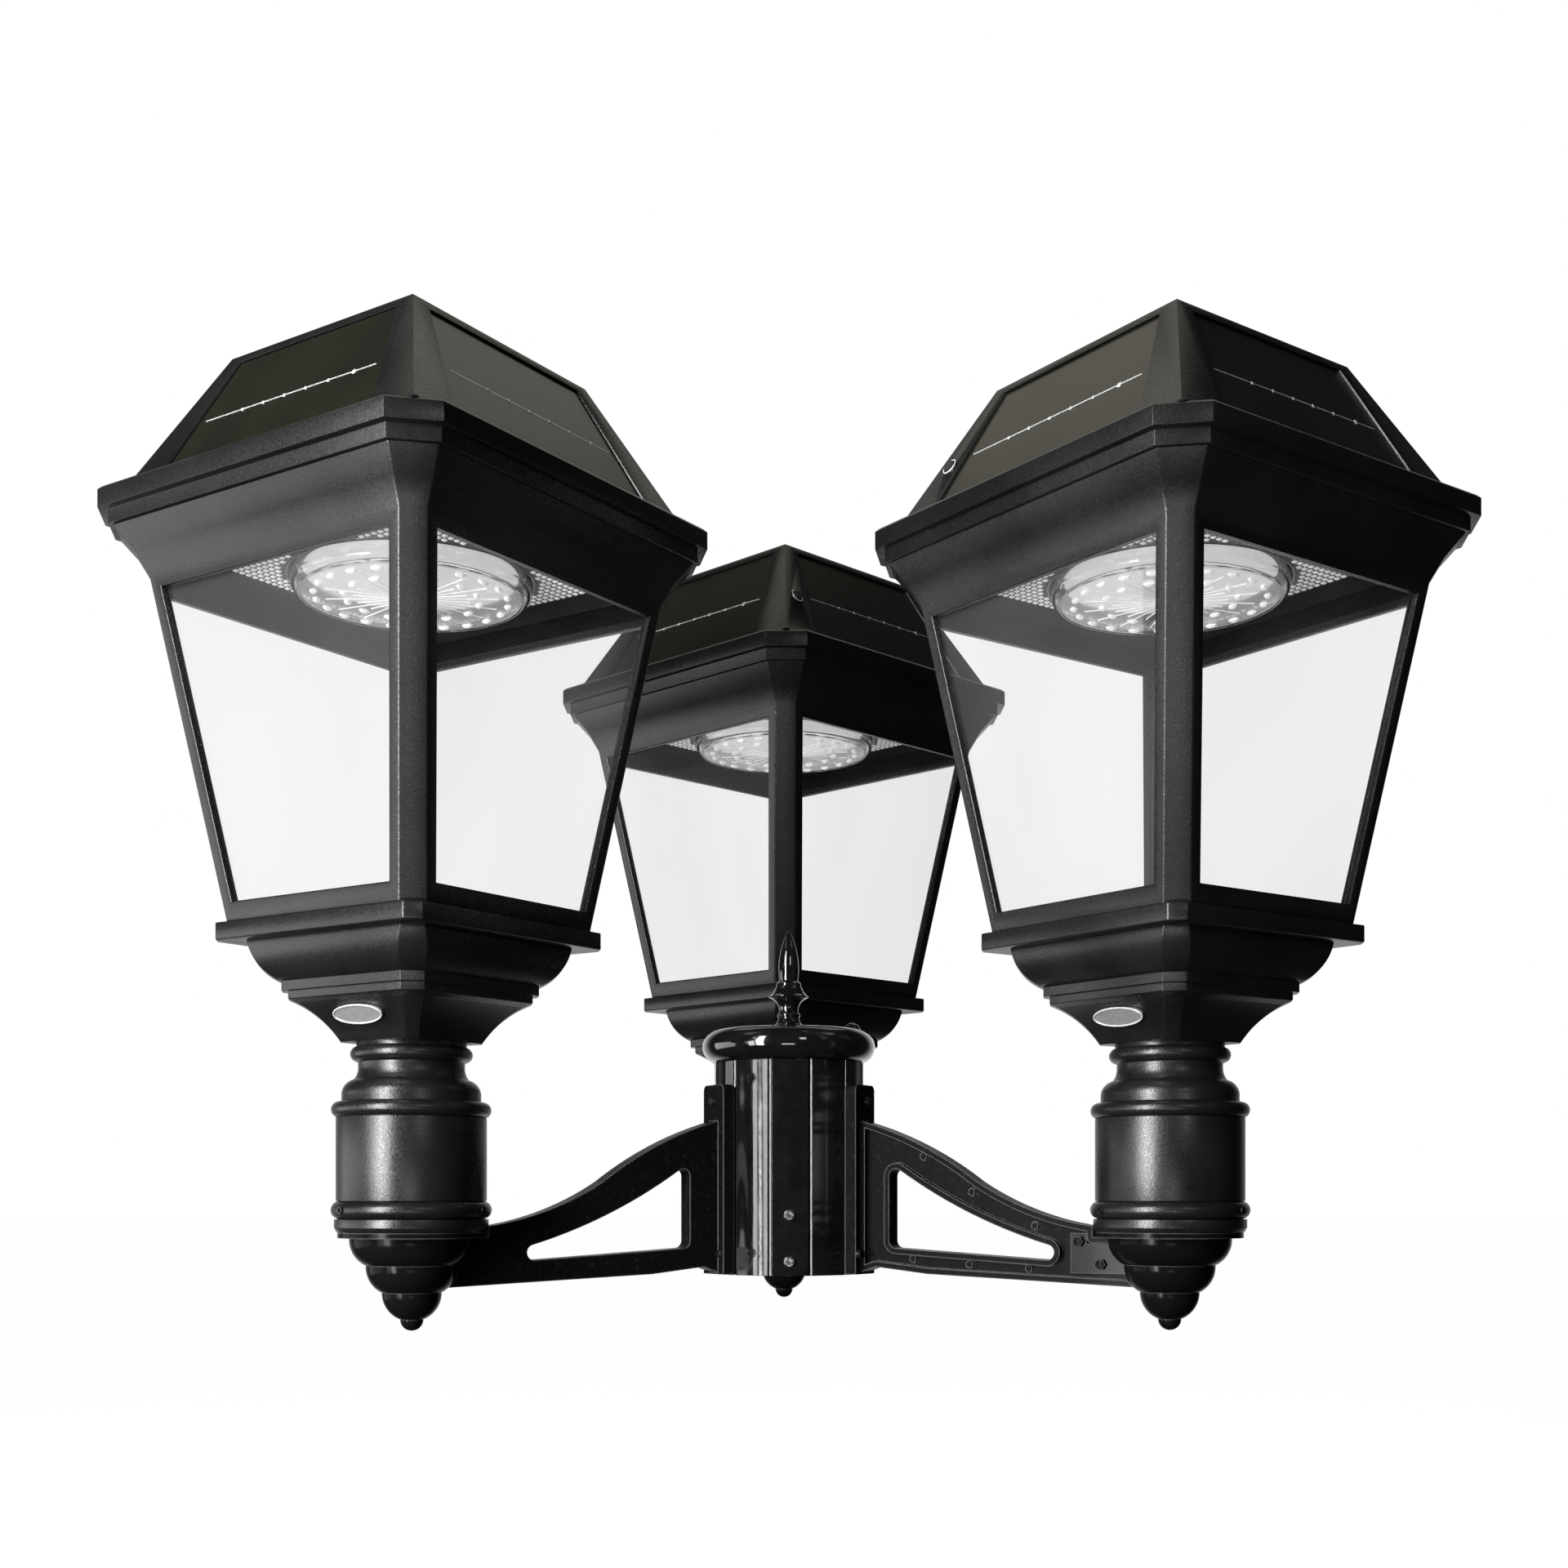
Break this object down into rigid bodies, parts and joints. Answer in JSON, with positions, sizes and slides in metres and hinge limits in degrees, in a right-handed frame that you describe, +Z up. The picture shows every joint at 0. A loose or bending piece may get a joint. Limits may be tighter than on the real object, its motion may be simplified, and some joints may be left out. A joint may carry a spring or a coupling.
{
  "type": "street lamp post top",
  "caption": "Post top for a round pole: a twelve-sided hub with a turned finial, swept arms with acorn cups, and tapered square solar lanterns that swivel on their spigots.",
  "frame": {"origin": "centre of the mouth of the pole socket, on the hub's lower face", "axes": "+Z up along the pole axis; +X to the right and -Y towards the viewer, so that two lanterns stand in front and one behind"},
  "size_m": [0.8458, 0.7824, 0.6007],
  "materials": {
    "gloss_enamel": "gloss black enamel over cast aluminium",
    "satin_powder": "satin black fine-textured powder coat over cast aluminium",
    "dark_steel": "blackened steel fastener",
    "zinc_steel": "zinc-plated threaded rod and nut",
    "solar_cell": "dark laminated solar cell under a clear satin cover",
    "clear_glass": "clear flat glass",
    "clear_lens": "clear moulded lens with radial flutes",
    "prism_plate": "clear plate with small prisms",
    "tray_paint": "dark grey painted tray",
    "led_board": "white board with small light chips",
    "battery_wrap": "blue wrapped cells in a black holder",
    "badge_metal": "plain grey oval plate with a lighter rim",
    "button_rubber": "soft black push button"
  },
  "bodies": {
    "bracket": {"hub_body": "gloss_enamel", "hub_cap": "gloss_enamel", "finial_stud": "zinc_steel", "hub_finial": "gloss_enamel", "pole_set_screws": "dark_steel", "flush_plugs": "gloss_enamel", "arm_flange_bolts": "dark_steel", "arm_left": "gloss_enamel", "arm_right": "gloss_enamel", "arm_rear": "gloss_enamel", "acorn_cup_left": "gloss_enamel", "acorn_cup_right": "gloss_enamel", "acorn_cup_rear": "gloss_enamel", "cup_lug_bolts": "dark_steel"},
    "lantern_left": {"left_roof_shell": "satin_powder", "left_solar_panels": "solar_cell", "left_frame": "satin_powder", "left_glass_panes": "clear_glass", "left_ceiling_tray": "tray_paint", "left_diffuser": "prism_plate", "left_lens_dome": "clear_lens", "left_led_board": "led_board", "left_battery_pack": "battery_wrap", "left_base_plate": "satin_powder", "left_base_bell": "satin_powder", "left_badge": "badge_metal", "left_fitter_column": "satin_powder", "left_grub_screws": "dark_steel"},
    "button_left": {"left_power_button": "button_rubber"},
    "lantern_right": {"right_roof_shell": "satin_powder", "right_solar_panels": "solar_cell", "right_frame": "satin_powder", "right_glass_panes": "clear_glass", "right_ceiling_tray": "tray_paint", "right_diffuser": "prism_plate", "right_lens_dome": "clear_lens", "right_led_board": "led_board", "right_battery_pack": "battery_wrap", "right_base_plate": "satin_powder", "right_base_bell": "satin_powder", "right_badge": "badge_metal", "right_fitter_column": "satin_powder", "right_grub_screws": "dark_steel"},
    "button_right": {"right_power_button": "button_rubber"},
    "lantern_rear": {"rear_roof_shell": "satin_powder", "rear_solar_panels": "solar_cell", "rear_frame": "satin_powder", "rear_glass_panes": "clear_glass", "rear_ceiling_tray": "tray_paint", "rear_diffuser": "prism_plate", "rear_lens_dome": "clear_lens", "rear_led_board": "led_board", "rear_battery_pack": "battery_wrap", "rear_base_plate": "satin_powder", "rear_base_bell": "satin_powder", "rear_badge": "badge_metal", "rear_fitter_column": "satin_powder", "rear_grub_screws": "dark_steel"},
    "button_rear": {"rear_power_button": "button_rubber"}
  },
  "joints": [
    {"name": "swivel_left", "type": "hinge", "parent": "bracket", "child": "lantern_left", "pos_m": [-0.23816, -0.1375, 0.031], "axis": [0, 0, 1], "continuous": true},
    {"name": "press_left", "type": "slide", "parent": "lantern_left", "child": "button_left", "axis": [0.73, -0.498, -0.468], "range_m": [0, 0.0016], "stiffness_N_per_m": 600, "springref_m": -0.0006},
    {"name": "swivel_right", "type": "hinge", "parent": "bracket", "child": "lantern_right", "pos_m": [0.23816, -0.1375, 0.031], "axis": [0, 0, 1], "continuous": true},
    {"name": "press_right", "type": "slide", "parent": "lantern_right", "child": "button_right", "axis": [0.7239, 0.5069, -0.468], "range_m": [0, 0.0016], "stiffness_N_per_m": 600, "springref_m": -0.0006},
    {"name": "swivel_rear", "type": "hinge", "parent": "bracket", "child": "lantern_rear", "pos_m": [0, 0.275, 0.031], "axis": [0, 0, 1], "continuous": true},
    {"name": "press_rear", "type": "slide", "parent": "lantern_rear", "child": "button_rear", "axis": [-0.6227, 0.6271, -0.468], "range_m": [0, 0.0016], "stiffness_N_per_m": 600, "springref_m": -0.0006}
  ]
}
